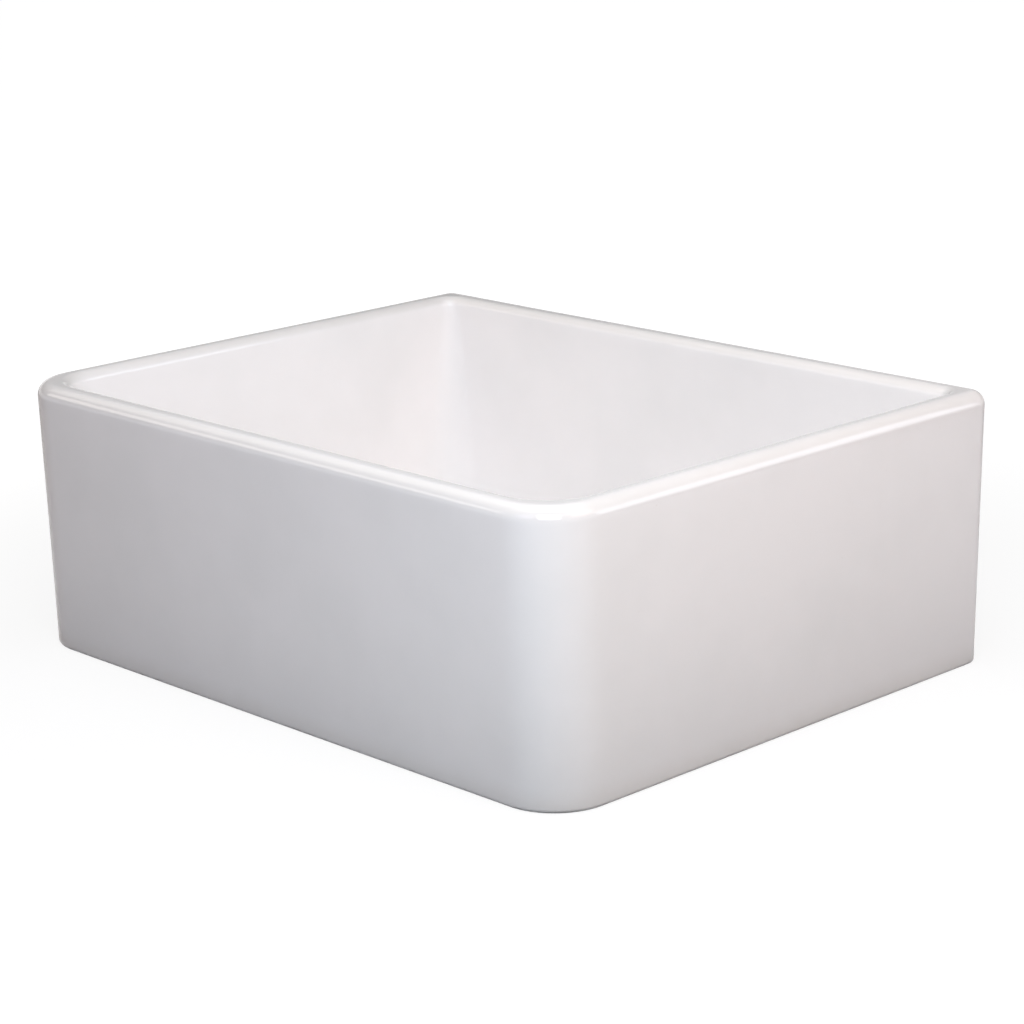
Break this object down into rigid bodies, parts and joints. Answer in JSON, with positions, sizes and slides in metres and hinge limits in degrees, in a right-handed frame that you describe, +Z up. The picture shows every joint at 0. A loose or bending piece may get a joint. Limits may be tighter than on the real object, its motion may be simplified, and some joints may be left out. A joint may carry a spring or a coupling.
{
  "type": "farmhouse apron front sink",
  "caption": "Apron-front ceramic kitchen sink, single rectangular bowl, with a basket-strainer waste whose basket seals, lifts out and turns.",
  "frame": {"origin": "middle of the base plane that the sink rests on, on the axis of the drain", "axes": "+X along the length to the right as seen from the front, -Y out of the apron front, +Z up"},
  "size_m": [0.5998, 0.4746, 0.317],
  "materials": {
    "glazed_fireclay": "glossy white glaze",
    "stainless": "polished stainless steel",
    "stainless_dark": "satin stainless steel",
    "chromed_brass": "bright chrome plate",
    "raw_brass": "cast and machined",
    "black_rubber": "moulded rubber",
    "grey_foam": "closed-cell foam",
    "red_fibre": "pressed fibre",
    "white_nylon": "natural nylon"
  },
  "bodies": {
    "sink": {"sink_basin": "glazed_fireclay", "flange_seal": "grey_foam", "strainer_body": "stainless", "outlet_cross": "stainless_dark", "under_washer": "black_rubber", "friction_ring": "red_fibre", "lock_nut": "raw_brass", "spout_washer": "white_nylon", "coupling_nut": "chromed_brass", "tailpiece": "chromed_brass"},
    "stopper": {"basket_stem": "stainless_dark", "stem_clip": "raw_brass", "stopper_seal": "black_rubber", "seal_plate": "stainless_dark", "basket_bush": "white_nylon", "top_washer": "white_nylon", "basket_knob": "chromed_brass"},
    "basket": {"basket_cup": "stainless"}
  },
  "joints": [
    {"name": "basket_lift", "type": "slide", "parent": "sink", "child": "stopper", "axis": [0, 0, 1], "range_m": [0, 0.28]},
    {"name": "basket_turn", "type": "hinge", "parent": "stopper", "child": "basket", "pos_m": [0, 0, 0], "axis": [0, 0, 1], "continuous": true}
  ]
}
